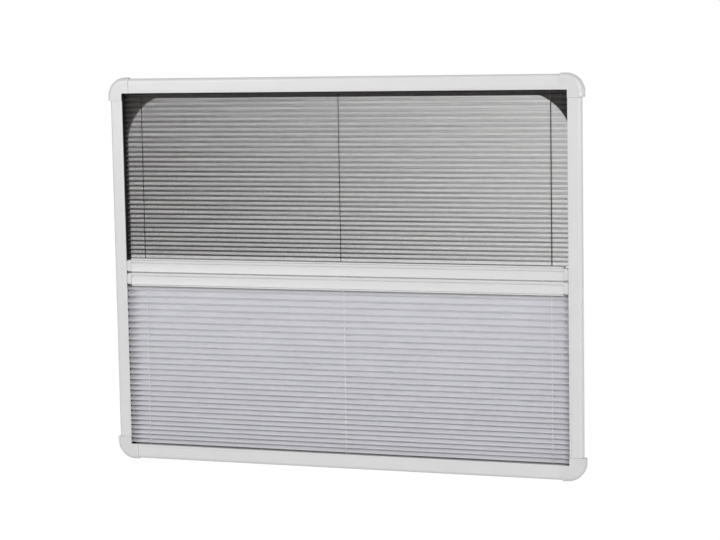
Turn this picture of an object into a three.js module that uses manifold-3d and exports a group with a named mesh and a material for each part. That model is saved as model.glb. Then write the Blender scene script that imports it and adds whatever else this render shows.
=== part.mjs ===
// Day and night blind for a window: a shallow cassette frame that is fixed round the opening,
// with a pleated insect screen on its top rail and a pleated blackout on its bottom rail.
// Each pleat ends in a grip bar that slides in the side rails and hangs on crossed cords.
// Millimetres. +X is right seen from the room, -Y points into the room and +Z is up.
// The origin is halfway along the face of the bottom rail that bears on the wall.
import * as THREE from 'three';
import { mergeVertices } from 'three/addons/utils/BufferGeometryUtils.js';
import Module from 'manifold-3d';

const wasm = await Module();
wasm.setup();

// Opening between the lips of the frame
const openingWidth = 700;
const openingHeight = 545;

// Depth of the frame in front of the wall and of its body in the wall
const flangeDepth = 11;
const bodyDepth = 15;

// Rails: visible width, and the strip of it that bears on the wall
const sideRailWidth = 20.2;
const sideSeatWidth = 6.8;
const crossRailWidth = 22.4;
const crossSeatWidth = 7.6;
const railSkin = 1.4;
const railNoseRadius = 3.5;
const railLipEase = 0.5;
const lipLineSetback = 3.4;
const lipLineWidth = 0.6;
const lipLineDepth = 0.35;
const channelWidth = 8.5;
const returnLipWidth = 4.2;
const grooveRibHeight = 2.6;
const hookHeight = 2.5;
const hookThickness = 0.9;

// Corner caps
const capWidth = 24.2;
const capReach = 11.5;
const capCornerRadius = 28;
const capProud = 0.8;
const capEdgeRadius = 3.5;
const capShoulderRadius = 3;
const capBodyRadius = 3;
const spigotLength = 14;

// Plate at the back with the window in it
const surroundThickness = 1.8;
const surroundMargin = 7.5;
const windowSideSetback = 3;
const windowCornerRadius = 75;
const windowCornerRise = 5;

// Strips that hold the far end of each pleat in its rail
const holderSetback = 1.2;
const holderThickness = 2;
const holderFrontDepth = 7.5;
const holderBackDepth = 20.4;
const stemDepth = 15.4;
const stemThickness = 1;

// Grip bars
const partingHeight = 269.3;
const barGap = 1.7;
const barHeight = 18;
const barFrontDepth = 1.2;
const barBackDepth = 17.2;
const barWall = 1.3;
const barFrontWall = 2.8;
const barEdgeRadius = 0.8;
const barNoseRadius = 1.6;
const gripGrooveHeight = 12.9;
const gripGrooveWidth = 1;
const gripGrooveDepth = 1;
const gripScoop = 0.7;
const barEndGap = 1.2;
const endCapWidth = 6;
const endCapEdgeRadius = 1.2;
const plugLength = 12;
const shoeReach = 7;
const shoeInset = 1;
const clipStripHeight = 2.2;
const clipStripFrontDepth = 2.2;
const clipStripBackDepth = 16.6;

// Pleated fabrics
const foldBackDepth = 20;
const screenFrontDepth = 9.5;
const screenSideGap = 2;
const screenPleatPitch = 7.3;
const screenThickness = 0.35;
const blackoutFrontDepth = 5;
const blackoutSideReach = 6;
const blackoutPleatPitch = 8.5;
const blackoutThickness = 0.35;
const cordSlotWidth = 2.2;

// Cords, their eyelets and their stops
const cordRadius = 0.55;
const cordDepth = 12.8;
const cordBackDepth = 21.4;
const cordBendRadius = 2.5;
const knotRadius = 1.2;
const screenCordInset = 27;
const blackoutCordInset = 28;
const nearExitStep = 2;
const farExitStep = 5;
const centreCordOffset = 1.75;
const centreExitOffset = 4.8;
const boreRadius = 0.9;
const eyeletShankRadius = 1.6;
const eyeletFlangeRadius = 2.6;
const eyeletFlangeThickness = 0.7;
const stopRadius = 1.5;
const stopHeight = 1.6;

// Tension springs in the rails
const springRadius = 1.9;
const springNeckRadius = 1.25;
const springWireRadius = 0.3;
const springPitch = 2.2;
const springDepth = 19.2;
const springSetback = 8;
const springLead = 10;
const anchorThickness = 4;
const anchorSetback = 6.4;
const pinRadius = 0.55;
const pinHeadThickness = 0.8;

// Clearances: between pieces that sit together, and past the face of what is cut
const fit = 0.3;
const overrun = 2;

// Counts, and shares of the sizes they belong to
const springCurls = 6;
const springSteps = 8;
const springSides = 5;
const cordSides = 8;
const arcSteps = 6;
const roundSides = 8;
const screenPitchSlopeShare = 0.06;
const blackoutPitchSlopeShare = 0.23;
const noseWallShare = 1.5;
const slotEndShare = 1.5;
const highLevelShare = 0.72;
const middleLevelShare = 0.45;
const lowLevelShare = 0.25;

// Sizes that follow from the ones above
const frameDepth = flangeDepth + bodyDepth;
const sideBody = sideRailWidth - sideSeatWidth;
const crossBody = crossRailWidth - crossSeatWidth;
const noseRadius = Math.min(
  railNoseRadius,
  flangeDepth - noseWallShare * railSkin,
  Math.min(sideRailWidth, crossRailWidth) - channelWidth - noseWallShare * railSkin,
);
const grooveBack = frameDepth - railSkin;
const grooveFront = grooveBack - surroundThickness - 2 * fit;
const barLength = openingWidth - 2 * (barEndGap + endCapWidth + fit);
const quarter = Math.PI / 2;

// Finishes
const finish = (color, roughness, metalness = 0) =>
  new THREE.MeshStandardMaterial({ color, roughness, metalness });
const whiteCoat = finish(0xe6e6e4, 0.4);
const whitePlastic = finish(0xdbdbd9, 0.5);
const blackPlastic = finish(0x1c1c1e, 0.6);
const greyPlastic = finish(0xb9bbbd, 0.5);
const screenNet = finish(0x55545a, 0.9);
const blackoutCloth = finish(0xc2c5cd, 0.8);
const blackCord = finish(0x17171a, 0.8);
const whiteCord = finish(0xe4e5e8, 0.8);
const springSteel = finish(0x9a9da1, 0.35, 0.9);

// Everything sits in one group: x across, y behind the front plane, z above the lower lip
const blind = new THREE.Group();
blind.position.set(0, -flangeDepth, crossRailWidth - crossSeatWidth / 2);

function add(name, geometry, material) {
  const piece = new THREE.Mesh(geometry, material);
  piece.name = name;
  blind.add(piece);
  return piece;
}

function outlineShape(points, holes = []) {
  const shape = new THREE.Shape(points.map(([x, y]) => new THREE.Vector2(x, y)));
  for (const hole of holes) {
    shape.holes.push(new THREE.Path(hole.map(([x, y]) => new THREE.Vector2(x, y))));
  }
  return shape;
}

function arcPoints(x, y, radius, from, to, steps = arcSteps) {
  const points = [];
  for (let step = 0; step <= steps; step += 1) {
    const angle = from + ((to - from) * step) / steps;
    points.push([x + radius * Math.cos(angle), y + radius * Math.sin(angle)]);
  }
  return points;
}

function prism(points, length, holes = []) {
  return new THREE.ExtrudeGeometry(outlineShape(points, holes), { depth: length, bevelEnabled: false });
}

// A prism whose outline is drawn as depth and height, running along x and centred on it
function crossPrism(points, length, holes = []) {
  const geometry = prism(points, length, holes);
  geometry.translate(0, 0, -length / 2);
  const axes = new THREE.Matrix4().makeBasis(
    new THREE.Vector3(0, 1, 0),
    new THREE.Vector3(0, 0, 1),
    new THREE.Vector3(1, 0, 0),
  );
  return geometry.applyMatrix4(axes);
}

function welded(geometry) {
  const bare = geometry.clone();
  bare.deleteAttribute('normal');
  bare.deleteAttribute('uv');
  return mergeVertices(bare);
}

function solidOf(geometry) {
  const skin = welded(geometry);
  return new wasm.Manifold(new wasm.Mesh({
    numProp: 3,
    vertProperties: new Float32Array(skin.attributes.position.array),
    triVerts: new Uint32Array(skin.index.array),
  }));
}

function geometryOf(solid) {
  const mesh = solid.getMesh();
  const geometry = new THREE.BufferGeometry();
  geometry.setAttribute('position', new THREE.BufferAttribute(mesh.vertProperties, 3));
  geometry.setIndex(new THREE.BufferAttribute(mesh.triVerts, 1));
  geometry.computeVertexNormals();
  return geometry;
}

function boxSolid([x0, x1], [y0, y1], [z0, z1]) {
  const box = new THREE.BoxGeometry(x1 - x0, y1 - y0, z1 - z0);
  box.translate((x0 + x1) / 2, (y0 + y1) / 2, (z0 + z1) / 2);
  return solidOf(box);
}

function rodSolid(radius, from, to) {
  const along = new THREE.Vector3().subVectors(to, from);
  const rod = new THREE.CylinderGeometry(radius, radius, along.length(), roundSides);
  const up = new THREE.Vector3(0, 1, 0);
  rod.applyQuaternion(new THREE.Quaternion().setFromUnitVectors(up, along.clone().normalize()));
  rod.translate(...from.clone().add(to).multiplyScalar(0.5).toArray());
  return solidOf(rod);
}

function ballSolid(radius, centre) {
  const ball = new THREE.SphereGeometry(radius, cordSides, cordSides / 2);
  ball.translate(...centre.toArray());
  return solidOf(ball);
}

// Skin over a stack of outlines with equally many points, each [points, height]
function loft(levels) {
  const count = levels[0][0].length;
  const positions = levels.flatMap(([points, height]) => points.flatMap(([x, y]) => [x, y, height]));
  const faces = [];
  for (let level = 0; level + 1 < levels.length; level += 1) {
    for (let corner = 0; corner < count; corner += 1) {
      const a = level * count + corner;
      const b = level * count + ((corner + 1) % count);
      faces.push(a, b, b + count, a, b + count, a + count);
    }
  }
  const lid = (points) =>
    THREE.ShapeUtils.triangulateShape(points.map(([x, y]) => new THREE.Vector2(x, y)), []);
  const last = (levels.length - 1) * count;
  lid(levels[0][0]).forEach(([a, b, c]) => faces.push(c, b, a));
  lid(levels[levels.length - 1][0]).forEach(([a, b, c]) => faces.push(last + a, last + b, last + c));
  const geometry = new THREE.BufferGeometry();
  geometry.setAttribute('position', new THREE.Float32BufferAttribute(positions, 3));
  geometry.setIndex(faces);
  geometry.computeVertexNormals();
  return geometry;
}

function mirrored(geometry) {
  const copy = welded(geometry).applyMatrix4(new THREE.Matrix4().makeScale(-1, 1, 1));
  const index = copy.index.array;
  for (let face = 0; face < index.length; face += 3) {
    [index[face], index[face + 1]] = [index[face + 1], index[face]];
  }
  copy.computeVertexNormals();
  return copy;
}

// Rails: one hollow extrusion each, with a lip, a glide channel, a chamber for the corner spigots
// and a groove for the plate at the back. Outlines run outward from the lip and back from the front.
function chamberOutline(width, clearance) {
  const inner = channelWidth + railSkin + clearance;
  const floor = flangeDepth - railSkin - clearance;
  const radius = noseRadius - railSkin - clearance;
  return [
    [inner, railSkin + clearance],
    ...arcPoints(width - noseRadius, noseRadius, radius, -quarter, 0),
    [width - railSkin - clearance, floor],
    [inner, floor],
  ];
}

function hookOutline(wall) {
  const back = stemDepth + stemThickness + fit;
  const front = stemDepth - fit;
  return [
    [wall, back + hookThickness],
    [wall - hookHeight, back + hookThickness],
    [wall - hookHeight, back],
    [wall, back],
    [wall, front],
    [wall - hookHeight, front],
    [wall - hookHeight, front - hookThickness],
    [wall, front - hookThickness],
  ];
}

function railGeometry(width, body, length, hooks) {
  const wall = body - railSkin;
  const outline = [
    [0, railSkin],
    [0, railLipEase],
    [railLipEase, 0],
    [lipLineSetback - lipLineWidth / 2, 0],
    [lipLineSetback, lipLineDepth],
    [lipLineSetback + lipLineWidth / 2, 0],
    ...arcPoints(width - noseRadius, noseRadius, noseRadius, -quarter, 0),
    [width, flangeDepth],
    [body, flangeDepth],
    [body, frameDepth],
    [body - returnLipWidth, frameDepth],
    [body - returnLipWidth, grooveBack],
    [wall, grooveBack],
    [wall, grooveFront],
    [wall - grooveRibHeight, grooveFront],
    [wall - grooveRibHeight, grooveFront - railSkin],
    [wall, grooveFront - railSkin],
    ...(hooks ? hookOutline(wall) : []),
    [wall, flangeDepth],
    [channelWidth, flangeDepth],
    [channelWidth, railSkin],
  ];
  const chamber = prism(chamberOutline(width, 0), length + 2 * overrun).translate(0, 0, -overrun);
  const rail = solidOf(prism(outline, length)).subtract(solidOf(chamber));
  return geometryOf(rail).translate(0, 0, -length / 2);
}

function addRail(name, width, body, length, outward, place, hooks = false) {
  const rail = add(name, railGeometry(width, body, length, hooks), whiteCoat);
  const back = new THREE.Vector3(0, 1, 0);
  const run = new THREE.Vector3().crossVectors(outward, back);
  rail.quaternion.setFromRotationMatrix(new THREE.Matrix4().makeBasis(outward, back, run));
  rail.position.copy(place);
}

const crossRailLength = openingWidth - 2 * (capReach + fit);
const sideRailLength = openingHeight - 2 * (capReach + fit);
addRail('top_rail', crossRailWidth, crossBody, crossRailLength,
  new THREE.Vector3(0, 0, 1), new THREE.Vector3(0, 0, openingHeight), true);
addRail('bottom_rail', crossRailWidth, crossBody, crossRailLength,
  new THREE.Vector3(0, 0, -1), new THREE.Vector3(0, 0, 0), true);
addRail('left_rail', sideRailWidth, sideBody, sideRailLength,
  new THREE.Vector3(-1, 0, 0), new THREE.Vector3(-openingWidth / 2, 0, openingHeight / 2));
addRail('right_rail', sideRailWidth, sideBody, sideRailLength,
  new THREE.Vector3(1, 0, 0), new THREE.Vector3(openingWidth / 2, 0, openingHeight / 2));

// Corner caps: moulded elbows, a little proud of the rails, with a rounded outer edge, a body that
// closes the corner at the back and a spigot into each rail. Drawn for the top right corner,
// x and y outward from the inner corner and z towards the room.
function capOutline(inset) {
  const edge = capWidth - inset;
  const turn = capWidth - capCornerRadius;
  const end = -capReach;
  const shoulder = end + capShoulderRadius;
  return [
    [end, 0],
    [0, 0],
    [0, end],
    ...arcPoints(edge - capShoulderRadius, shoulder, capShoulderRadius, -quarter, 0),
    ...arcPoints(turn, turn, capCornerRadius - inset, 0, quarter, 2 * arcSteps),
    ...arcPoints(shoulder, edge - capShoulderRadius, capShoulderRadius, quarter, 2 * quarter),
  ];
}

function capFront() {
  const radius = Math.min(capEdgeRadius, flangeDepth, capWidth - channelWidth);
  const levels = [[capOutline(0), -flangeDepth]];
  for (let step = 0; step <= arcSteps; step += 1) {
    const angle = (quarter * step) / arcSteps;
    const inset = radius * (1 - Math.cos(angle));
    levels.push([capOutline(inset), capProud - radius * (1 - Math.sin(angle))]);
  }
  return solidOf(loft(levels));
}

function capBody() {
  const outline = [
    [-capReach, 0],
    [0, 0],
    [0, -capReach],
    [sideBody, -capReach],
    ...arcPoints(sideBody - capBodyRadius, crossBody - capBodyRadius, capBodyRadius, 0, quarter),
    [-capReach, crossBody],
  ];
  const body = prism(outline, bodyDepth + fit);
  return solidOf(body.translate(0, 0, -frameDepth));
}

function capSpigot(width) {
  const spigot = prism(chamberOutline(width, fit), spigotLength + overrun);
  const axes = new THREE.Matrix4().makeBasis(
    new THREE.Vector3(1, 0, 0),
    new THREE.Vector3(0, 0, -1),
    new THREE.Vector3(0, 1, 0),
  );
  return spigot.applyMatrix4(axes).translate(0, -capReach - spigotLength, 0);
}

function capGeometry() {
  const start = -capReach - overrun;
  const channel = [start, channelWidth];
  const sideSpigot = capSpigot(sideRailWidth);
  const crossSpigot = mirrored(capSpigot(crossRailWidth)).rotateZ(-quarter);
  const inside = (width) => [[start, sideBody - width], [start, crossBody - width]];
  return geometryOf(capFront()
    .add(capBody())
    .subtract(boxSolid(channel, channel, [-flangeDepth - fit, -railSkin]))
    .subtract(boxSolid(...inside(railSkin), [-grooveBack, -flangeDepth]))
    .subtract(boxSolid(...inside(returnLipWidth), [-frameDepth - overrun, -grooveBack + fit]))
    .add(solidOf(sideSpigot))
    .add(solidOf(crossSpigot)));
}

const rightCap = capGeometry();
const leftCap = mirrored(rightCap);
for (const [name, geometry, side, height, turned] of [
  ['corner_cap_top_right', rightCap, 1, openingHeight, false],
  ['corner_cap_bottom_left', rightCap, -1, 0, true],
  ['corner_cap_top_left', leftCap, -1, openingHeight, false],
  ['corner_cap_bottom_right', leftCap, 1, 0, true],
]) {
  const cap = add(name, geometry, whitePlastic);
  cap.rotation.set(quarter, 0, 0);
  if (turned) cap.rotation.set(quarter, Math.PI, 0, 'YXZ');
  cap.position.set((side * openingWidth) / 2, 0, height);
}

// Plate at the back, held in the groove of the four rails. Its window is a little wider than the
// opening, and each corner is an arc that meets the top or bottom edge at an angle.
function addSurround() {
  const reachX = openingWidth / 2 + sideBody - railSkin - fit;
  const reachZ = openingHeight / 2 + crossBody - railSkin - fit;
  const plate = [[-reachX, -reachZ], [reachX, -reachZ], [reachX, reachZ], [-reachX, reachZ]];
  const radius = windowCornerRadius;
  const turnX = openingWidth / 2 + windowSideSetback - radius;
  const turnZ = openingHeight / 2 - surroundMargin + windowCornerRise - radius;
  const sweep = Math.asin((radius - windowCornerRise) / radius);
  const opening = [
    ...arcPoints(turnX, turnZ, radius, 0, sweep),
    ...arcPoints(-turnX, turnZ, radius, 2 * quarter - sweep, 2 * quarter),
    ...arcPoints(-turnX, -turnZ, radius, 2 * quarter, 2 * quarter + sweep),
    ...arcPoints(turnX, -turnZ, radius, 4 * quarter - sweep, 4 * quarter),
  ];
  const surround = add('rear_surround', prism(plate, surroundThickness, [opening]), blackPlastic);
  surround.rotation.x = quarter;
  surround.position.set(0, grooveBack - fit, openingHeight / 2);
}

addSurround();

// The two blinds. 'up' is 1 where the pleat rises from its bar and -1 where it drops from it.
// Each run says where a cord enters the bar, where it leaves it at the back, at what height it runs
// across and to which side it turns to its spring. The cord from the left leaves on the right.
function cordRuns(cordInset, rightExitStep, leftExitStep, centre, up) {
  const reach = openingWidth / 2 - cordInset;
  const rightExit = reach - rightExitStep;
  const leftExit = -reach - leftExitStep;
  const centreExit = -Math.sign(centre) * centreExitOffset;
  const level = (share) => barHeight * (up > 0 ? share : 1 - share);
  return [
    { place: 'left', enter: -reach, leave: rightExit, level: level(middleLevelShare), turn: -1 },
    { place: 'centre', enter: centre, leave: centreExit, level: level(highLevelShare), turn: -up },
    { place: 'right', enter: reach, leave: leftExit, level: level(lowLevelShare), turn: 1 },
  ];
}

const blinds = [
  {
    name: 'screen',
    up: 1,
    barBase: partingHeight + barGap / 2,
    barFace: partingHeight + barGap / 2 + barHeight,
    lip: openingHeight,
    fabric: screenNet,
    cord: blackCord,
    runs: cordRuns(screenCordInset, farExitStep, nearExitStep, -centreCordOffset, 1),
    width: openingWidth - 2 * screenSideGap,
    frontDepth: screenFrontDepth,
    pitch: screenPleatPitch,
    thickness: screenThickness,
    pitchSlope: screenPitchSlopeShare,
  },
  {
    name: 'blackout',
    up: -1,
    barBase: partingHeight - barGap / 2 - barHeight,
    barFace: partingHeight - barGap / 2 - barHeight,
    lip: 0,
    fabric: blackoutCloth,
    cord: whiteCord,
    runs: cordRuns(blackoutCordInset, nearExitStep, farExitStep, centreCordOffset, -1),
    width: openingWidth + 2 * blackoutSideReach,
    frontDepth: blackoutFrontDepth,
    pitch: blackoutPleatPitch,
    thickness: blackoutThickness,
    pitchSlope: blackoutPitchSlopeShare,
  },
];

// Holder strip: a T that clips between the hooks of the rail and carries the last fold
function addHolder({ name, up, lip, runs }) {
  const face = holderSetback;
  const back = holderSetback + holderThickness;
  const foot = crossBody - railSkin - fit;
  const outline = [
    [holderFrontDepth, face],
    [holderBackDepth, face],
    [holderBackDepth, back],
    [stemDepth + stemThickness, back],
    [stemDepth + stemThickness, foot],
    [stemDepth, foot],
    [stemDepth, back],
    [holderFrontDepth, back],
  ].map(([depth, height]) => [depth, lip + up * height]);
  let strip = solidOf(crossPrism(up > 0 ? outline : outline.reverse(), openingWidth - 2 * barEndGap));
  for (const { enter } of runs) {
    const from = new THREE.Vector3(enter, cordDepth, lip);
    const to = new THREE.Vector3(enter, cordDepth, lip + up * (back + overrun));
    strip = strip.subtract(rodSolid(boreRadius, from, to));
  }
  add(`${name}_holder_strip`, geometryOf(strip), whitePlastic);
}

// Grip bar: a hollow extrusion with a raised lip along its top, a groove below the lip and a
// scooped face, and holes for the cords in its fabric side and its back
function barOutline() {
  const front = barFrontDepth;
  const groove = gripGrooveHeight + gripGrooveWidth;
  return [
    ...arcPoints(front + barEdgeRadius, barEdgeRadius, barEdgeRadius, -quarter, -2 * quarter, arcSteps / 2)
      .reverse(),
    ...arcPoints(barBackDepth - barEdgeRadius, barEdgeRadius, barEdgeRadius, -quarter, 0, arcSteps / 2),
    ...arcPoints(barBackDepth - barEdgeRadius, barHeight - barEdgeRadius, barEdgeRadius,
      0, quarter, arcSteps / 2),
    ...arcPoints(front + barNoseRadius, barHeight - barNoseRadius, barNoseRadius,
      quarter, 2 * quarter, arcSteps / 2),
    [front, groove],
    [front + gripScoop + gripGrooveDepth, groove],
    [front + gripScoop + gripGrooveDepth, gripGrooveHeight],
    [front + gripScoop, gripGrooveHeight],
    [front + gripScoop, gripGrooveHeight / 2],
  ];
}

function barHollow(clearance) {
  const front = barFrontDepth + barFrontWall + clearance;
  const back = barBackDepth - barWall - clearance;
  const low = barWall + clearance;
  const high = barHeight - barWall - clearance;
  return [[front, low], [back, low], [back, high], [front, high]];
}

function addBar({ name, up, barBase, barFace, runs }) {
  let bar = solidOf(crossPrism(barOutline(), barLength, [barHollow(0)]).translate(0, 0, barBase));
  const holeRadius = eyeletShankRadius + fit;
  for (const { enter, leave, level } of runs) {
    const inside = new THREE.Vector3(enter, cordDepth, barFace - up * (barWall + overrun));
    const outside = new THREE.Vector3(enter, cordDepth, barFace + up * overrun);
    bar = bar.subtract(rodSolid(holeRadius, inside, outside));
    const before = new THREE.Vector3(leave, barBackDepth - barWall - overrun, barBase + level);
    const behind = new THREE.Vector3(leave, barBackDepth + overrun, barBase + level);
    bar = bar.subtract(rodSolid(holeRadius, before, behind));
  }
  add(`${name}_bar_profile`, geometryOf(bar), whiteCoat);
}

// Clip strip: the flat strip on the bar that the first fold is fixed to
function addClipStrip({ name, up, barFace, runs }) {
  const near = barFace + up * fit;
  const far = barFace + up * clipStripHeight;
  const depths = [clipStripFrontDepth, clipStripBackDepth];
  const heights = [Math.min(near, far), Math.max(near, far)];
  let strip = boxSolid([-barLength / 2, barLength / 2], depths, heights);
  for (const { enter } of runs) {
    const from = new THREE.Vector3(enter, cordDepth, barFace);
    const to = new THREE.Vector3(enter, cordDepth, barFace + up * (clipStripHeight + overrun));
    strip = strip.subtract(rodSolid(eyeletShankRadius + fit, from, to));
  }
  add(`${name}_clip_strip`, geometryOf(strip), whitePlastic);
}

// End cap: closes the bar, plugs into its hollow and carries the shoe that slides in the channel
function endCapGeometry() {
  const edge = endCapEdgeRadius;
  const outer = openingWidth / 2 - barEndGap;
  const inner = outer - endCapWidth;
  const cheek = [
    ...arcPoints(barFrontDepth + edge, edge, edge, 2 * quarter, 3 * quarter, arcSteps / 2),
    ...arcPoints(barBackDepth - edge, edge, edge, -quarter, 0, arcSteps / 2),
    ...arcPoints(barBackDepth - edge, barHeight - edge, edge, 0, quarter, arcSteps / 2),
    ...arcPoints(barFrontDepth + edge, barHeight - edge, edge, quarter, 2 * quarter, arcSteps / 2),
  ];
  const shoeFront = railSkin + fit;
  const shoeBack = grooveFront;
  const shoe = [
    ...arcPoints(shoeFront + edge, shoeInset + edge, edge, 2 * quarter, 3 * quarter, arcSteps / 2),
    ...arcPoints(shoeBack - edge, shoeInset + edge, edge, -quarter, 0, arcSteps / 2),
    ...arcPoints(shoeBack - edge, barHeight - shoeInset - edge, edge, 0, quarter, arcSteps / 2),
    ...arcPoints(shoeFront + edge, barHeight - shoeInset - edge, edge, quarter, 2 * quarter, arcSteps / 2),
  ];
  const slab = (outline, from, to) => crossPrism(outline, to - from).translate((from + to) / 2, 0, 0);
  return geometryOf(solidOf(slab(cheek, inner, outer))
    .add(solidOf(slab(barHollow(fit), inner - plugLength, inner + fit)))
    .add(solidOf(slab(shoe, outer - fit, openingWidth / 2 + shoeReach))));
}

const rightEndCap = endCapGeometry();
const leftEndCap = mirrored(rightEndCap);

function addEndCaps({ name, barBase }) {
  add(`${name}_bar_end_cap_right`, rightEndCap, whitePlastic).position.z = barBase;
  add(`${name}_bar_end_cap_left`, leftEndCap, whitePlastic).position.z = barBase;
}

// Eyelets line the cord holes: one through the fabric side of the bar, one through its back
function eyeletGeometry(length) {
  const profile = [
    [boreRadius, 0],
    [eyeletFlangeRadius, 0],
    [eyeletFlangeRadius, eyeletFlangeThickness],
    [eyeletShankRadius, eyeletFlangeThickness],
    [eyeletShankRadius, length],
    [boreRadius, length],
    [boreRadius, 0],
  ];
  return new THREE.LatheGeometry(profile.map(([x, y]) => new THREE.Vector2(x, y)), roundSides);
}

function addEyelets({ name, up, barBase, barFace, runs }) {
  const seat = fit + eyeletFlangeThickness;
  const throughFabricSide = eyeletGeometry(seat + barWall + clipStripHeight - fit);
  const throughBack = eyeletGeometry(seat + barWall);
  for (const { place, enter, leave, level } of runs) {
    const front = add(`${name}_cord_eyelet_${place}`, throughFabricSide, greyPlastic);
    front.rotation.x = up * quarter;
    front.position.set(enter, cordDepth, barFace - up * (barWall + seat));
    const back = add(`${name}_exit_eyelet_${place}`, throughBack, greyPlastic);
    back.rotation.x = Math.PI;
    back.position.set(leave, barBackDepth + seat, barBase + level);
  }
}

// Pleated fabric: a zigzag sheet from the holder strip to the clip strip. Each cord runs in a
// narrow slot through the folds, and in a hole through the first and the last fold.
function foldSides({ up, barFace, lip, frontDepth, thickness, pitch, pitchSlope }) {
  const ends = [lip + up * (holderSetback - fit), barFace + up * (clipStripHeight + fit)];
  const top = Math.max(...ends);
  const height = top - Math.min(...ends);
  const folds = 2 * Math.round(height / pitch);
  const tip = thickness * Math.hypot(1, (foldBackDepth - frontDepth) / (height / folds));
  const front = [];
  const back = [];
  for (let fold = 0; fold <= folds; fold += 1) {
    const share = fold / folds;
    const level = top - height * (share + pitchSlope * share * (1 - share));
    front.push([fold % 2 ? frontDepth : foldBackDepth - tip, level]);
    back.push([fold % 2 ? frontDepth + tip : foldBackDepth, level]);
  }
  return { front, back };
}

function addFabric(sizes) {
  const { front, back } = foldSides(sizes);
  const levels = front.map(([, level]) => level);
  let sheet = solidOf(crossPrism([...front, ...back.reverse()], sizes.width));
  const margin = slotEndShare * sizes.thickness;
  const folded = [levels[levels.length - 2] + margin, levels[1] - margin];
  const lastFold = [levels[levels.length - 1] - overrun, folded[0]];
  const firstFold = [folded[1], levels[0] + overrun];
  for (const { enter } of sizes.runs) {
    const across = [enter - cordSlotWidth / 2, enter + cordSlotWidth / 2];
    const hole = [cordDepth - cordSlotWidth / 2, cordDepth + cordSlotWidth / 2];
    sheet = sheet
      .subtract(boxSolid(across, [0, frameDepth], folded))
      .subtract(boxSolid(across, hole, firstFold))
      .subtract(boxSolid(across, hole, lastFold));
  }
  add(`${sizes.name}_fabric`, geometryOf(sheet), sizes.fabric);
}

// Cords. A route is a list of corners; each bend is rounded with the same radius.
class Route extends THREE.Curve {
  constructor(points) {
    super();
    this.points = points;
  }

  getPoint(share, target = new THREE.Vector3()) {
    const along = share * (this.points.length - 1);
    const index = Math.min(Math.floor(along), this.points.length - 2);
    return target.copy(this.points[index]).lerp(this.points[index + 1], along - index);
  }

  getPointAt(share, target) {
    return this.getPoint(share, target);
  }

  getTangentAt(share, target = new THREE.Vector3()) {
    const index = Math.round(share * (this.points.length - 1));
    const before = this.points[Math.max(index - 1, 0)];
    const after = this.points[Math.min(index + 1, this.points.length - 1)];
    return target.copy(after).sub(before).normalize();
  }
}

function roundedRoute(corners, radius, steps = arcSteps / 2) {
  const points = [corners[0]];
  for (let index = 1; index + 1 < corners.length; index += 1) {
    const corner = corners[index];
    const back = new THREE.Vector3().subVectors(corners[index - 1], corner);
    const on = new THREE.Vector3().subVectors(corners[index + 1], corner);
    const turn = Math.PI - back.angleTo(on);
    const cut = Math.min(radius * Math.tan(turn / 2), back.length() / 2, on.length() / 2);
    const from = corner.clone().add(back.setLength(cut));
    const to = corner.clone().add(on.setLength(cut));
    const bend = new THREE.QuadraticBezierCurve3(from, corner, to);
    points.push(...bend.getPoints(steps));
  }
  points.push(corners[corners.length - 1]);
  return new Route(points);
}

function tubeSolid(route, radius, sides) {
  const section = arcPoints(0, 0, radius, 0, 4 * quarter, sides).slice(0, sides);
  return solidOf(new THREE.ExtrudeGeometry(outlineShape(section), {
    steps: route.points.length - 1,
    extrudePath: route,
  }));
}

function addCord({ name, up, barBase, lip, cord }, { place, enter, leave, level, turn }) {
  const stopTop = holderSetback + holderThickness + fit + stopHeight;
  const start = new THREE.Vector3(enter, cordDepth, lip + up * (stopTop + fit + knotRadius));
  const crossing = barBase + level;
  const farLip = openingHeight - lip;
  const springAxis = farLip - up * springSetback;
  const springStart = leave + turn * springLead;
  const knot = springStart + turn * (springPitch + knotRadius);
  const corners = [
    start,
    new THREE.Vector3(enter, cordDepth, crossing),
    new THREE.Vector3(leave, cordDepth, crossing),
    new THREE.Vector3(leave, cordBackDepth, crossing),
    new THREE.Vector3(leave, cordBackDepth, farLip - (up * springSetback) / 2),
    new THREE.Vector3(leave + (turn * springLead) / 2, springDepth, springAxis),
    new THREE.Vector3(knot, springDepth, springAxis),
  ];
  const route = roundedRoute(corners, cordBendRadius);
  add(`${name}_cord_${place}`, geometryOf(tubeSolid(route, cordRadius, cordSides)
    .add(ballSolid(knotRadius, start))
    .add(ballSolid(knotRadius, corners[corners.length - 1]))), cord);

  const stop = new THREE.LatheGeometry([
    [boreRadius, 0],
    [stopRadius, 0],
    [stopRadius, stopHeight],
    [boreRadius, stopHeight],
    [boreRadius, 0],
  ].map(([x, y]) => new THREE.Vector2(x, y)), roundSides);
  const bead = add(`${name}_cord_stop_${place}`, stop, greyPlastic);
  bead.rotation.x = up * quarter;
  bead.position.set(enter, cordDepth, lip + up * (stopTop - stopHeight));
  addSpring(`${name}_cord_spring_${place}`, springStart, springAxis, turn);
  addAnchor(`${name}_spring_anchor_${place}`, springStart, farLip, up, turn);
}

// Springs: a helix that narrows at both ends, round the knot of the cord and the pin of the anchor
function springPoints() {
  const points = [];
  const steps = springCurls * springSteps;
  for (let step = 0; step <= steps; step += 1) {
    const curl = step / springSteps;
    const open = Math.min(curl, springCurls - curl, 1);
    const radius = springNeckRadius + (springRadius - springNeckRadius) * open;
    const angle = curl * 4 * quarter;
    points.push(new THREE.Vector3(curl * springPitch, radius * Math.cos(angle), radius * Math.sin(angle)));
  }
  return points;
}

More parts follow.
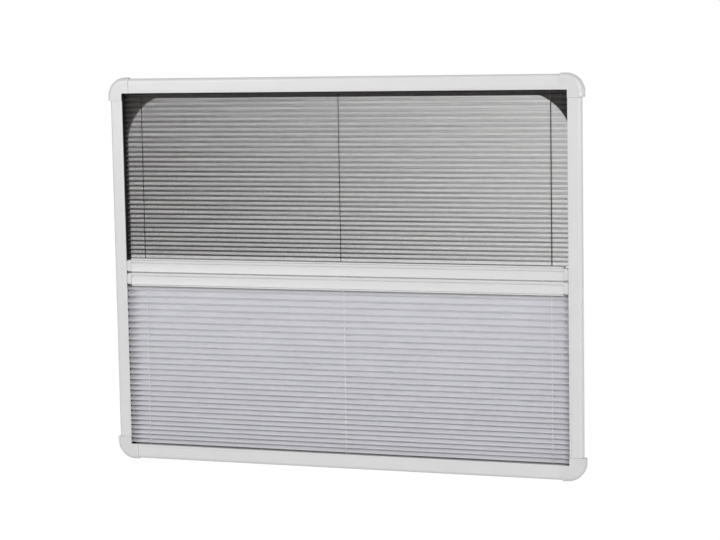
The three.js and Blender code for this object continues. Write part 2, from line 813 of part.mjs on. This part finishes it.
function springGeometry(points) {
  const positions = [];
  const faces = [];
  const axis = new THREE.Vector3(1, 0, 0);
  points.forEach((point, index) => {
    const before = points[Math.max(index - 1, 0)];
    const after = points[Math.min(index + 1, points.length - 1)];
    const tangent = new THREE.Vector3().subVectors(after, before).normalize();
    const outward = point.clone().projectOnPlane(axis).projectOnPlane(tangent).normalize();
    const side = new THREE.Vector3().crossVectors(tangent, outward);
    for (const [x, y] of arcPoints(0, 0, springWireRadius, 0, 4 * quarter, springSides).slice(1)) {
      const corner = point.clone().addScaledVector(outward, x).addScaledVector(side, y);
      positions.push(...corner.toArray());
    }
  });
  for (let ring = 0; ring + 1 < points.length; ring += 1) {
    for (let corner = 0; corner < springSides; corner += 1) {
      const a = ring * springSides + corner;
      const b = ring * springSides + ((corner + 1) % springSides);
      faces.push(a, b, b + springSides, a, b + springSides, a + springSides);
    }
  }
  const last = (points.length - 1) * springSides;
  for (let corner = 1; corner + 1 < springSides; corner += 1) {
    faces.push(0, corner + 1, corner, last, last + corner, last + corner + 1);
  }
  const geometry = new THREE.BufferGeometry();
  geometry.setAttribute('position', new THREE.Float32BufferAttribute(positions, 3));
  geometry.setIndex(faces);
  geometry.computeVertexNormals();
  return geometry;
}

function leastSelfGap(points) {
  let least = Infinity;
  points.forEach((point, index) => {
    for (const other of points.slice(index + springSteps / 2)) {
      least = Math.min(least, point.distanceTo(other) - 2 * springWireRadius);
    }
  });
  return least;
}

const springRoute = springPoints();
const rightSpring = springGeometry(springRoute);
const leftSpring = mirrored(rightSpring);
console.log(`cord spring: least gap to itself ${leastSelfGap(springRoute).toFixed(2)} mm`);

function addSpring(name, start, height, turn) {
  const spring = add(name, turn > 0 ? rightSpring : leftSpring, springSteel);
  spring.position.set(start, springDepth, height);
}

// Anchor: a block on the body wall of the rail with a headed pin in the far end of the spring
function addAnchor(name, springStart, lip, up, turn) {
  const springEnd = springStart + turn * springCurls * springPitch;
  const head = springEnd - turn * (springPitch + pinHeadThickness);
  const near = springEnd + turn * (springWireRadius + fit);
  const far = near + turn * anchorThickness;
  const axis = lip - up * springSetback;
  const along = (x) => new THREE.Vector3(x, springDepth, axis);
  const hookBack = stemDepth + stemThickness + fit + hookThickness;
  const heights = [lip - up * anchorSetback, lip - up * (crossBody - railSkin - fit)];
  const block = boxSolid(
    [Math.min(near, far), Math.max(near, far)],
    [hookBack + fit, grooveFront - railSkin - fit],
    [Math.min(...heights), Math.max(...heights)],
  );
  const headRadius = springRadius - springWireRadius - fit;
  const anchor = block
    .add(rodSolid(pinRadius, along(far - (turn * anchorThickness) / 2), along(head)))
    .add(rodSolid(headRadius, along(head), along(head + turn * pinHeadThickness)));
  add(name, geometryOf(anchor), greyPlastic);
}

for (const sizes of blinds) {
  addHolder(sizes);
  addBar(sizes);
  addClipStrip(sizes);
  addEndCaps(sizes);
  addEyelets(sizes);
  addFabric(sizes);
  for (const run of sizes.runs) addCord(sizes, run);
}

export default blind;
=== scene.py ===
import math

import bmesh
import bpy
from mathutils import Euler, Matrix, Vector, noise


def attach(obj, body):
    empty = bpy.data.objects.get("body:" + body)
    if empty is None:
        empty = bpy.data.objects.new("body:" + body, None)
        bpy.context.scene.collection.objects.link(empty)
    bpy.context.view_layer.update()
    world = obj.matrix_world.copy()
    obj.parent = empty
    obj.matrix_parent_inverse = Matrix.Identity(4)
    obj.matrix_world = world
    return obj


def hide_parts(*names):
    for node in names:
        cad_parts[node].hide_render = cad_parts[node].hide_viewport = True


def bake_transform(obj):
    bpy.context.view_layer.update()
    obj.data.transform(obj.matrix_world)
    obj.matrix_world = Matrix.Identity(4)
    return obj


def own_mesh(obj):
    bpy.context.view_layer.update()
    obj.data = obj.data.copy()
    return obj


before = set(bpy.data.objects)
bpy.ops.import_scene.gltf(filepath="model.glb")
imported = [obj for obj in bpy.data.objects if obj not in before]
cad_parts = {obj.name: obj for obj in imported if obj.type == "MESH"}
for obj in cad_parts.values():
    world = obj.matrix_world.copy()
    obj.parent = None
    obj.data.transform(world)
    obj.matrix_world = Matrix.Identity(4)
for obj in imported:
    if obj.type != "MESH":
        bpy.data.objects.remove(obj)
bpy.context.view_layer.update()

# Camera. It stands right of the blind's middle and just above its top, turned towards its centre and
# leaning a degree to one side, as the photographer held it. The lens is a long one.
camera_place = Vector((1.077298, -2.986769, 0.641893))
camera_tilt = 83.7892
camera_lean = 1.0033
camera_turn = 19.2332
camera_lens = bpy.data.cameras.new("camera")
camera_lens.sensor_width = 36
camera_lens.lens = 106.6466
camera_lens.clip_start = 0.1
camera_lens.clip_end = 60
camera = bpy.data.objects.new("camera", camera_lens)
bpy.context.scene.collection.objects.link(camera)
camera_angles = Euler([math.radians(angle) for angle in (camera_tilt, camera_lean, camera_turn)])
camera.matrix_world = Matrix.LocRotScale(camera_place, camera_angles, None)
bpy.context.scene.camera = camera

# Corner caps. Four elbows moulded in white plastic, a shade greyer than the rails, with a soft
# spark-eroded skin. A spigot on each arm is pushed into the rails and holds the frame together.
MM = 0.001
opening_half = (350, 272.5)
opening_middle = 291.1
frame_front = -11
cap_width = 24.2
cap_proud = 0.8
cap_edge_radius = 7.5
cap_corner_radius = 28


def surface(name, colour, roughness, grain, depth, tone=0.02, stretch=(1, 1, 1)):
    """A finish with a fine grain. grain is the number of grains in a metre, depth their height in mm
    and tone the share by which the colour varies."""
    gloss_shift = 0.05
    broad_share = 40
    made = bpy.data.materials.new(name)
    made.use_nodes = True
    nodes, links = made.node_tree.nodes, made.node_tree.links
    shader = nodes["Principled BSDF"]
    place = nodes.new("ShaderNodeTexCoord")
    turn = nodes.new("ShaderNodeMapping")
    turn.inputs["Scale"].default_value = stretch
    links.new(place.outputs["Object"], turn.inputs["Vector"])
    fine = nodes.new("ShaderNodeTexNoise")
    fine.inputs["Scale"].default_value = grain
    fine.inputs["Detail"].default_value = 3
    links.new(turn.outputs["Vector"], fine.inputs["Vector"])
    broad = nodes.new("ShaderNodeTexNoise")
    broad.inputs["Scale"].default_value = grain / broad_share
    broad.inputs["Detail"].default_value = 4
    links.new(turn.outputs["Vector"], broad.inputs["Vector"])
    tint = nodes.new("ShaderNodeValToRGB")
    tint.color_ramp.elements[0].position = 0.3
    tint.color_ramp.elements[0].color = (*[share * (1 - tone) for share in colour], 1)
    tint.color_ramp.elements[1].position = 0.7
    tint.color_ramp.elements[1].color = (*[min(share * (1 + tone), 1) for share in colour], 1)
    links.new(broad.outputs["Fac"], tint.inputs["Fac"])
    links.new(tint.outputs["Color"], shader.inputs["Base Color"])
    shine = nodes.new("ShaderNodeMapRange")
    shine.inputs["To Min"].default_value = roughness - gloss_shift
    shine.inputs["To Max"].default_value = roughness + gloss_shift
    links.new(fine.outputs["Fac"], shine.inputs["Value"])
    links.new(shine.outputs["Result"], shader.inputs["Roughness"])
    relief = nodes.new("ShaderNodeBump")
    relief.inputs["Strength"].default_value = 0.5
    relief.inputs["Distance"].default_value = depth * MM
    links.new(fine.outputs["Fac"], relief.inputs["Height"])
    links.new(relief.outputs["Normal"], shader.inputs["Normal"])
    return made


def place_piece(name, mesh_code, finish, body, *stands_for, slot=None, smooth=True):
    """Turns finished mesh code into a piece that moves with a body, if one is given, and takes the
    place of its plain nodes."""
    mesh = bpy.data.meshes.new(name)
    mesh_code.to_mesh(mesh)
    mesh_code.free()
    mesh.materials.append(finish)
    for face in mesh.polygons:
        face.use_smooth = smooth
    piece = bpy.data.objects.new(name, mesh)
    bpy.context.scene.collection.objects.link(piece)
    if body:
        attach(piece, body)
    if stands_for:
        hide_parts(*stands_for)
    return piece


def eased(node, edge):
    """Mesh code of a rigid node with its long sharp edges rounded by edge mm."""
    same_point = 0.002
    flat_angle = 1
    sharp_angle = 28
    shortest = 4
    made = bmesh.new()
    made.from_mesh(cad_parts[node].data)
    bmesh.ops.remove_doubles(made, verts=made.verts, dist=same_point * MM)
    bmesh.ops.dissolve_limit(made, angle_limit=math.radians(flat_angle), verts=made.verts,
                             edges=made.edges)
    corners = [line for line in made.edges
               if line.calc_face_angle(0) > math.radians(sharp_angle)
               and line.calc_length() > shortest * MM]
    bmesh.ops.bevel(made, geom=corners, offset=edge * MM, offset_type="OFFSET", affect="EDGES",
                    segments=2, profile=0.5, material=-1, clamp_overlap=True)
    return made


def widen_front_rounding(made, width, front, radius):
    """Gives the outer front edge of a piece of the frame a rounding of radius mm. The piece reaches
    width mm out from the window opening, and its face lies at the depth front."""
    plain_radius = 3.5
    tolerance = 0.03
    for corner in made.verts:
        x, y, z = corner.co.x / MM, corner.co.y / MM, corner.co.z / MM - opening_middle
        right = max(abs(x) - opening_half[0] - width + cap_corner_radius, 0)
        up = max(abs(z) - opening_half[1] - width + cap_corner_radius, 0)
        reach = math.hypot(right, up)
        inward, back = cap_corner_radius - reach, y - front
        off_arc = abs(math.hypot(plain_radius - inward, plain_radius - back) - plain_radius)
        if max(inward, back) < plain_radius + tolerance and off_arc < tolerance:
            angle = math.atan2(plain_radius - back, plain_radius - inward)
            moved = radius - radius * math.cos(angle) - inward
            corner.co.x -= math.copysign(moved * right / reach, x) * MM
            corner.co.z -= math.copysign(moved * up / reach, z) * MM
            corner.co.y = (front + radius - radius * math.sin(angle)) * MM


def even_normals(piece):
    """Lets the flat faces keep their own light, so that only the rounded edges shade off."""
    even = piece.modifiers.new("even", "WEIGHTED_NORMAL")
    even.weight = 80
    even.keep_sharp = True


cap_plastic = surface("cap_plastic", (0.71, 0.708, 0.706), 0.24, 1400, 0.02)
for place in ("top_left", "top_right", "bottom_left", "bottom_right"):
    node = f"corner_cap_{place}"
    cap = eased(node, 0.25)
    widen_front_rounding(cap, cap_width, frame_front - cap_proud, cap_edge_radius)
    even_normals(place_piece(f"cap_{place}", cap, cap_plastic, "frame", node, slot="white_plastic"))

# Rails. Four hollow aluminium extrusions with a satin white powder coat: a flat face, a rounded
# outer edge, a lip round the window and, behind it, the channel that the bars glide in.
rail_widths = {"top": 22.4, "bottom": 22.4, "left": 20.2, "right": 20.2}
rail_edge_radius = 5.5
powder_coat = surface("powder_coat", (0.742, 0.737, 0.737), 0.26, 1100, 0.01, tone=0.01)
for side, rail_width in rail_widths.items():
    node = f"{side}_rail"
    rail = eased(node, 0.2)
    widen_front_rounding(rail, rail_width, frame_front, rail_edge_radius)
    even_normals(place_piece(f"rail_{side}", rail, powder_coat, "frame", node, slot="white_coat"))

# Rear surround. A sheet of matt black plastic in the groove of the four rails. Its window is cut
# with large corner arcs that meet the top and bottom edges at an angle.
plate_half = (361.7, 285.6)
plate_depths = (11.5, 13.3)
window_half = (352, 264)
window_radius = 75
corner_rise = 5
plate = bmesh.new()
window = bmesh.ops.create_grid(plate, x_segments=1, y_segments=1, size=1)["verts"]
bmesh.ops.scale(plate, vec=(window_half[0], window_half[1] + corner_rise, 1), verts=window)
bmesh.ops.bevel(plate, geom=window, offset=window_radius, offset_type="OFFSET", affect="VERTICES",
                segments=20, profile=0.5, material=-1)
for side in (-1, 1):
    bmesh.ops.bisect_plane(plate, geom=list(plate.verts) + list(plate.edges) + list(plate.faces),
                           plane_co=(0, side * window_half[1], 0), plane_no=(0, side, 0),
                           clear_outer=True)
rim = bmesh.ops.create_grid(plate, x_segments=1, y_segments=1, size=1)["verts"]
bmesh.ops.scale(plate, vec=(*plate_half, 1), verts=rim)
bmesh.ops.delete(plate, geom=list(plate.faces), context="FACES_ONLY")
bmesh.ops.bridge_loops(plate, edges=list(plate.edges))
bmesh.ops.solidify(plate, geom=list(plate.faces), thickness=plate_depths[1] - plate_depths[0])
bmesh.ops.recalc_face_normals(plate, faces=plate.faces)
bmesh.ops.rotate(plate, cent=(0, 0, 0), matrix=Matrix.Rotation(math.pi / 2, 3, "X"), verts=plate.verts)
nearest = min(corner.co.y for corner in plate.verts)
bmesh.ops.translate(plate, vec=(0, plate_depths[0] - nearest, opening_middle), verts=plate.verts)
bmesh.ops.scale(plate, vec=(MM, MM, MM), verts=plate.verts)
black_plastic = surface("black_plastic", (0.009, 0.009, 0.0095), 0.55, 1500, 0.02, tone=0.1)
place_piece("surround_plate", plate, black_plastic, "frame", "rear_surround", slot="black_plastic",
            smooth=False)

# Holder strips. Two white plastic strips of T section, clipped between the hooks of the top and
# bottom rails, which carry the last fold of each fabric. They stay as the frame has them.
strip_plastic = surface("strip_plastic", (0.74, 0.74, 0.735), 0.5, 1300, 0.02)
for blind in ("screen", "blackout"):
    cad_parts[f"{blind}_holder_strip"].material_slots[0].material = strip_plastic

# Insect net. One piece of charcoal polyester net with 69 pressed panels, hung from the top rail and
# held by a hem on the upper bar, which pulls the last panel open. Its upright threads are taller than
# wide, because they are crimped over the cross threads.
net_half_width = 350
net_folds = 69
net_front = -1.5
fold_back = 9
net_cords = (-323, -1.75, 323)
net_columns = 44
cord_depth = 1.8
hole = 1.1
weft_radius = 0.075
wefts_in_panel = 5
weft_steps = 24
crease_gap = 0.02
hem_wefts = 9
hem_edge = 0.01
hem_gap = 0.02
warp_half_width = 0.08
warp_half_height = 0.29
warp_threads = 920
# first and last are the heights of the end panels, slope is how much the fold spacing changes on the
# way down, tip is the share of a panel pressed flat at a crease, and the last four shape the waves.
net_sizes = {"folds": net_folds, "top": 564.5, "height": 255.5, "first": 3.4, "last": 4.6,
             "slope": 0.085, "front": net_front, "tip": 0.03, "wave": 0.005, "sway": 0.4, "ripple": 0.2,
             "seed": 3.1}


def fold_point(x, along, sizes):
    """Where the point x across and 'along' folds down a pleated sheet lies, in mm, waves included."""
    held_folds = 3
    sway_rate = 0.45
    ripple_rate = 1.3
    finer = 3
    fold = min(int(along), sizes["folds"] - 1)
    share = along - fold

    def level(number):
        if number in (0, sizes["folds"]):
            return sizes["top"] - (sizes["height"] if number else 0)
        part = (number - 1) / (sizes["folds"] - 2)
        between = sizes["height"] - sizes["first"] - sizes["last"]
        return sizes["top"] - sizes["first"] - between * (part + sizes["slope"] * part * (1 - part))

    ends = (fold_back, sizes["front"]) if fold % 2 == 0 else (sizes["front"], fold_back)
    depth = ends[0] + (ends[1] - ends[0]) * min(max(share, sizes["tip"]), 1 - sizes["tip"])
    height = level(fold) + (level(fold + 1) - level(fold)) * share
    held = min(1, along / held_folds, (sizes["folds"] - along) / held_folds)
    sway = noise.noise(Vector((x * sizes["wave"], along * sway_rate, sizes["seed"])))
    ripple_place = Vector((x * sizes["wave"] * finer, along * ripple_rate, sizes["seed"] + 7))
    ripple = noise.noise(ripple_place)
    rise = held * (sizes["sway"] * sway + sizes["ripple"] * ripple)
    return Vector((x, depth, height + rise))


def pleated_sheet(sizes, half_width, cords, columns):
    """Mesh code of a flat grid laid in folds, with a punched hole round each cord in every panel."""
    across = [half_width * (2 * step / columns - 1) for step in range(columns + 1)]
    across = [x for x in across if min(abs(x - cord) for cord in cords) > 3 * hole]
    across = sorted(across + [cord + side * hole for cord in cords for side in (-1, 1)])
    middle = (cord_depth - sizes["front"]) / (fold_back - sizes["front"])
    reach = hole / (fold_back - sizes["front"])
    rising = (0, sizes["tip"], middle - reach, middle + reach, 1 - sizes["tip"])
    falling = (0, sizes["tip"], 1 - middle - reach, 1 - middle + reach, 1 - sizes["tip"])
    down = [fold + share for fold in range(sizes["folds"])
            for share in (falling if fold % 2 == 0 else rising)] + [sizes["folds"]]
    made = bmesh.new()
    bmesh.ops.create_grid(made, x_segments=len(across) - 1, y_segments=len(down) - 1, size=1)
    for number, corner in enumerate(made.verts):
        corner.co = fold_point(across[number % len(across)], down[number // len(across)], sizes)
    punched = [face for face in made.faces
               if min(abs(face.calc_center_median().x - cord) for cord in cords) < hole / 2
               and abs(face.calc_center_median().y - cord_depth) < hole / 2]
    bmesh.ops.delete(made, geom=punched, context="FACES")
    bmesh.ops.scale(made, vec=(MM, MM, MM), verts=made.verts)
    return made


def threads(lines, sizes, across, upward):
    """Mesh code of three-sided threads, each along a list of (x, place down the folds) on the sheet.
    across and upward are the half-axes of a thread's section."""
    sides = 3
    same_point = across.length / 50
    made = bmesh.new()
    for line in lines:
        spine = [fold_point(*place, sizes) for place in line]
        rows = bmesh.ops.create_grid(made, x_segments=len(line) - 1, y_segments=sides, size=1)["verts"]
        for step, corner in enumerate(rows):
            angle = 2 * math.pi * (step // len(line)) / sides
            outward = math.cos(angle) * across + math.sin(angle) * upward
            corner.co = spine[step % len(line)] + outward
    bmesh.ops.remove_doubles(made, verts=made.verts, dist=same_point)
    bmesh.ops.scale(made, vec=(MM, MM, MM), verts=made.verts)
    bmesh.ops.recalc_face_normals(made, faces=made.faces)
    return made


charcoal = (0.13, 0.118, 0.115)
net_sheet_cloth = surface("net_sheet", charcoal, 0.6, 2600, 0.02, tone=0.1)
net_sheet_cloth.node_tree.nodes["Principled BSDF"].inputs["Alpha"].default_value = 0.04
net_thread = surface("net_thread", charcoal, 0.27, 2600, 0.01, tone=0.1)
net = place_piece("net_sheet", pleated_sheet(net_sizes, net_half_width, net_cords, net_columns),
                  net_sheet_cloth, "frame", "screen_fabric", slot="screen_net", smooth=False)
weft_places = [(number + 0.5) / wefts_in_panel for number in range(net_folds * wefts_in_panel)]
weft_places += [crease + side * crease_gap for crease in range(1, net_folds) for side in (-1, 1)]
weft_places += [net_folds - hem_edge - hem_gap * number for number in range(hem_wefts)]
weft_lines = [[(net_half_width * (2 * step / weft_steps - 1), along) for step in range(weft_steps + 1)]
              for along in weft_places]
weft = place_piece("net_weft_threads",
                   threads(weft_lines, net_sizes, Vector((0, weft_radius, 0)),
                           Vector((0, 0, weft_radius))),
                   net_thread, "frame", "screen_fabric", slot="screen_net")
warp_lines = [[(net_half_width * (2 * (number + 0.5) / warp_threads - 1), fold)
               for fold in range(net_folds + 1)] for number in range(warp_threads)]
warps = [place_piece(f"net_warp_threads_{half}",
                     threads(lines, net_sizes, Vector((warp_half_width, 0, 0)),
                             Vector((0, 0, warp_half_height))),
                     net_thread, "frame", "screen_fabric", slot="screen_net")
         for half, lines in (("left", warp_lines[:warp_threads // 2]),
                             ("right", warp_lines[warp_threads // 2:]))]
for piece in (net, weft, *warps):
    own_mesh(piece)

# Blackout. One piece of opaque light blue-grey polyester with 58 pressed folds, fixed to the bottom
# rail and to the lower bar. White cords run through a punched hole in every panel.
blackout_half_width = 356
blackout_cords = (-322, 1.75, 322)
blackout_columns = 60
blackout_sizes = {"folds": 58, "top": 266.55, "height": 248.85, "first": 4.4, "last": 3.4,
                  "slope": 0.2, "front": -6, "tip": 0.025, "wave": 0.006, "sway": 0.3, "ripple": 0.1,
                  "seed": 11.7}
blackout_cloth = surface("blackout_cloth", (0.82, 0.82, 0.85), 0.75, 2200, 0.04, tone=0.02,
                         stretch=(0.3, 1, 1))
blackout_sheet = pleated_sheet(blackout_sizes, blackout_half_width, blackout_cords, blackout_columns)
blackout = place_piece("blackout_pleats", blackout_sheet, blackout_cloth, "frame", "blackout_fabric",
                       slot="blackout_cloth", smooth=False)
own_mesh(blackout)

# Grip bars and clip strips. Each bar is a hollow aluminium extrusion with the coat of the rails, a
# groove under its upper edge and a scooped face. The clip strip on it holds the first fold.
bar_feet = {"screen": 288.75, "blackout": 269.05}
groove_levels = (12.7, 14.2)
groove_front = -7.9
scoop_edge = (-9.3, -8.6)
groove_cut = 0.8
for blind, bar_foot in bar_feet.items():
    node = f"{blind}_bar_profile"
    profile = eased(node, 0.15)
    for corner in profile.verts:
        height, depth = corner.co.z / MM - bar_foot, corner.co.y / MM
        at_groove = groove_levels[0] < height < groove_levels[1] and depth < groove_front
        if at_groove and not scoop_edge[0] < depth < scoop_edge[1]:
            corner.co.y += groove_cut * MM
    even_normals(place_piece(f"bar_{blind}", profile, powder_coat, f"{blind}_bar", node,
                             slot="white_coat"))
    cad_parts[f"{blind}_clip_strip"].material_slots[0].material = strip_plastic

# Bar end caps. Moulded cheeks that close the ends of the bars, with a plug in the bar and a shoe
# that glides in the channel of the side rail.
for blind in ("screen", "blackout"):
    for side in ("left", "right"):
        node = f"{blind}_bar_end_cap_{side}"
        even_normals(place_piece(f"end_cap_{blind}_{side}", eased(node, 0.2), cap_plastic,
                                 f"{blind}_bar", node, slot="white_plastic"))

# Cords. Three black braided cords tie the upper bar to both rails and three white ones the lower
# bar. Each is knotted over its holder strip, runs through the folds, crosses over inside the bar,
# leaves it at the back and ends in a tension spring in the far rail.
cord_radius = 0.55
cord_back = 10.4
cord_bend = 2.5
knot_radius = 1.2
knot_setback = 6.6
exit_drop = 10
rail_entry = 6
rail_bend = 4
spring_depth = 8.2
spring_setback = 8
spring_start = 5
spring_end = 13.4
black_cord = surface("black_cord", (0.005, 0.005, 0.0052), 0.7, 1800, 0.1, tone=0.15)
black_cord.node_tree.nodes["Principled BSDF"].inputs["Specular IOR Level"].default_value = 0.1
white_cord = surface("white_cord", (0.93, 0.93, 0.93), 0.7, 1800, 0.1, tone=0.05)
# up points from the bar to the blind's own rail, whose lip and the far rail's have the heights lip
# and far. The folds lie between anchor and face. A run says where a cord enters its bar and leaves
# it, its level inside the bar, and to which side its spring lies.
cord_plan = {
    "screen": {"up": 1, "anchor": 564.5, "face": 306.75, "lip": 563.6, "far": 18.6, "keep": 0.0921,
               "finish": black_cord, "slot": "black_cord",
               "runs": (("left", -323, 318, 296.85, -1), ("centre", -1.75, 4.8, 301.71, -1),
                        ("right", 323, -325, 293.25, 1))},
    "blackout": {"up": -1, "anchor": 17.7, "face": 269.05, "lip": 18.6, "far": 563.6, "keep": 0.0968,
                 "finish": white_cord, "slot": "white_cord",
                 "runs": (("left", -322, 320, 278.95, -1), ("centre", 1.75, -4.8, 274.09, 1),
                          ("right", 322, -327, 282.55, 1))},
}


def rounded(corners, steps=5):
    """The corners of a cord's route with every bend rounded off."""
    route = [Vector(corners[0])]
    for before, corner, after in zip(corners, corners[1:], corners[2:]):
        back, on = Vector(before) - Vector(corner), Vector(after) - Vector(corner)
        cut = min(cord_bend * math.tan((math.pi - back.angle(on)) / 2), back.length / 2, on.length / 2)
        start, end = Vector(corner) + back.normalized() * cut, Vector(corner) + on.normalized() * cut
        for step in range(steps + 1):
            share = step / steps
            route.append(start.lerp(Vector(corner), share).lerp(Vector(corner).lerp(end, share), share))
    route.append(Vector(corners[-1]))
    return route


def cord_piece(name, routes, knots, finish, body, *stands_for, slot=None):
    """A piece of round cord along one or more routes, with a ball for each knot."""
    made = bmesh.new()
    for route in routes:
        line = bpy.data.curves.new(name, "CURVE")
        line.dimensions = "3D"
        line.bevel_depth = cord_radius
        line.bevel_resolution = 2
        line.use_fill_caps = True
        spline = line.splines.new("POLY")
        spline.points.add(len(route) - 1)
        for point, place in zip(spline.points, route):
            point.co = (*place, 1)
        drawn = bpy.data.objects.new(name, line)
        made.from_mesh(drawn.to_mesh())
        drawn.to_mesh_clear()
        bpy.data.objects.remove(drawn)
    for knot in knots:
        bmesh.ops.create_icosphere(made, subdivisions=2, radius=knot_radius,
                                   matrix=Matrix.Translation(knot))
    bmesh.ops.scale(made, vec=(MM, MM, MM), verts=made.verts)
    return place_piece(name, made, finish, body, *stands_for, slot=slot)


for blind, plan in cord_plan.items():
    for place, enter, leave, level, turn in plan["runs"]:
        up, finish, slot = plan["up"], plan["finish"], plan["slot"]
        stem = f"{blind}_cord_run_{place}"
        knot = Vector((enter, cord_depth, plan["lip"] + up * knot_setback))
        top = Vector((enter, cord_depth, plan["anchor"]))
        mouth = Vector((enter, cord_depth, plan["face"]))
        turn_in = Vector((enter, cord_depth, level))
        turn_out = Vector((leave, cord_depth, level))
        behind = Vector((leave, cord_back, level))
        below = behind - Vector((0, 0, up * exit_drop))
        rail_side = Vector((leave, cord_back, plan["far"] + up * rail_entry))
        bend = Vector((leave, cord_back, plan["far"] - up * rail_bend))
        axis = plan["far"] - up * spring_setback
        lead = Vector((leave + turn * spring_start, spring_depth, axis))
        end = Vector((leave + turn * spring_end, spring_depth, axis))
        cord_piece(f"{stem}_ends", [[knot, top], rounded([rail_side, bend, lead, end])],
                   [knot, end], finish, "frame", f"{blind}_cord_{place}", slot=slot)
        front_run = cord_piece(f"{stem}_front", [[top, mouth]], [], finish, "frame", slot=slot)
        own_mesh(front_run)
        cord_piece(f"{stem}_inner", [rounded([mouth, turn_in, turn_out, behind, below])], [],
                   finish, f"{blind}_bar", slot=slot)
        rear_run = cord_piece(f"{stem}_rear", [[below, rail_side]], [], finish, None, slot=slot)
        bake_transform(rear_run)

# Small inner parts. Grey plastic eyelets line the cord holes, beads stop the knots, and anchor
# blocks in the rails hold the springs of bright wire.
grey_plastic = surface("grey_plastic", (0.45, 0.46, 0.47), 0.45, 1600, 0.02)
spring_wire = surface("spring_wire", (0.55, 0.56, 0.57), 0.3, 3000, 0.01, stretch=(0.2, 1, 1))
spring_wire.node_tree.nodes["Principled BSDF"].inputs["Metallic"].default_value = 1
for blind in ("screen", "blackout"):
    for place in ("left", "centre", "right"):
        for part in ("cord_stop", "cord_eyelet", "exit_eyelet", "spring_anchor"):
            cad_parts[f"{blind}_{part}_{place}"].material_slots[0].material = grey_plastic
        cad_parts[f"{blind}_cord_spring_{place}"].material_slots[0].material = spring_wire

# Studio. A pale floor well under the blind, a white surround and four lamps: a large soft one from
# the front left, a smaller one from the front right, one from the right side and a faint one above.
floor_level = -0.335
floor_half_width = 30
backdrop_white = (1, 1, 1, 1)
backdrop_glow = 1.1
glow_share = 0.9
surround_light = 0.2
aim = Vector((0, 0, 0.29))


def seen_directly(nodes, links):
    """1 where the camera sees a surface itself, in a mirror or through glass, 0 where it only lights."""
    path = nodes.new("ShaderNodeLightPath")
    both = nodes.new("ShaderNodeMath")
    both.operation = "MAXIMUM"
    links.new(path.outputs["Is Camera Ray"], both.inputs[0])
    links.new(path.outputs["Is Glossy Ray"], both.inputs[1])
    all_three = nodes.new("ShaderNodeMath")
    all_three.operation = "MAXIMUM"
    links.new(both.outputs["Value"], all_three.inputs[0])
    links.new(path.outputs["Is Transmission Ray"], all_three.inputs[1])
    return all_three.outputs["Value"]


floor_mesh = bmesh.new()
bmesh.ops.create_grid(floor_mesh, x_segments=1, y_segments=1, size=floor_half_width)
bmesh.ops.translate(floor_mesh, vec=(0, 0, floor_level), verts=floor_mesh.verts)
floor_data = bpy.data.meshes.new("floor")
floor_mesh.to_mesh(floor_data)
floor_mesh.free()
floor = bpy.data.objects.new("floor", floor_data)
bpy.context.scene.collection.objects.link(floor)
floor_paint = bpy.data.materials.new("floor_paint")
floor_paint.use_nodes = True
nodes, links = floor_paint.node_tree.nodes, floor_paint.node_tree.links
nodes["Principled BSDF"].inputs["Base Color"].default_value = (0.9, 0.9, 0.9, 1)
nodes["Principled BSDF"].inputs["Roughness"].default_value = 0.9
glow = nodes.new("ShaderNodeEmission")
glow.inputs["Color"].default_value = backdrop_white
glow.inputs["Strength"].default_value = backdrop_glow
share = nodes.new("ShaderNodeMath")
share.operation = "MULTIPLY"
share.inputs[1].default_value = glow_share
links.new(seen_directly(nodes, links), share.inputs[0])
mixed = nodes.new("ShaderNodeMixShader")
links.new(share.outputs["Value"], mixed.inputs["Fac"])
links.new(nodes["Principled BSDF"].outputs["BSDF"], mixed.inputs[1])
links.new(glow.outputs["Emission"], mixed.inputs[2])
links.new(mixed.outputs["Shader"], nodes["Material Output"].inputs["Surface"])
floor_data.materials.append(floor_paint)

world = bpy.data.worlds.new("studio")
world.use_nodes = True
bpy.context.scene.world = world
nodes, links = world.node_tree.nodes, world.node_tree.links
nodes["Background"].inputs["Color"].default_value = (1, 1, 1, 1)
nodes["Background"].inputs["Strength"].default_value = surround_light
seen = nodes.new("ShaderNodeBackground")
seen.inputs["Color"].default_value = backdrop_white
mixed = nodes.new("ShaderNodeMixShader")
links.new(seen_directly(nodes, links), mixed.inputs["Fac"])
links.new(nodes["Background"].outputs["Background"], mixed.inputs[1])
links.new(seen.outputs["Background"], mixed.inputs[2])
links.new(mixed.outputs["Shader"], nodes["World Output"].inputs["Surface"])

for name, place, size, power in (
    ("lamp_left", (-4.2, -6.9, 2.3), 3.6, 222),
    ("lamp_right", (4.8, -6.6, 2.6), 1.0, 210),
    ("lamp_side", (7.5, -1.2, 0.9), 3, 115),
    ("lamp_top", (0.1, -1.8, 2.6), 0.6, 6),
):
    light = bpy.data.lights.new(name, "AREA")
    light.shape = "SQUARE"
    light.size = size
    light.energy = power
    lamp = bpy.data.objects.new(name, light)
    bpy.context.scene.collection.objects.link(lamp)
    lamp.location = place
    lamp.rotation_mode = "QUATERNION"
    lamp.rotation_quaternion = (aim - Vector(place)).to_track_quat("-Z", "Y")

bpy.context.scene.view_settings.view_transform = "Standard"
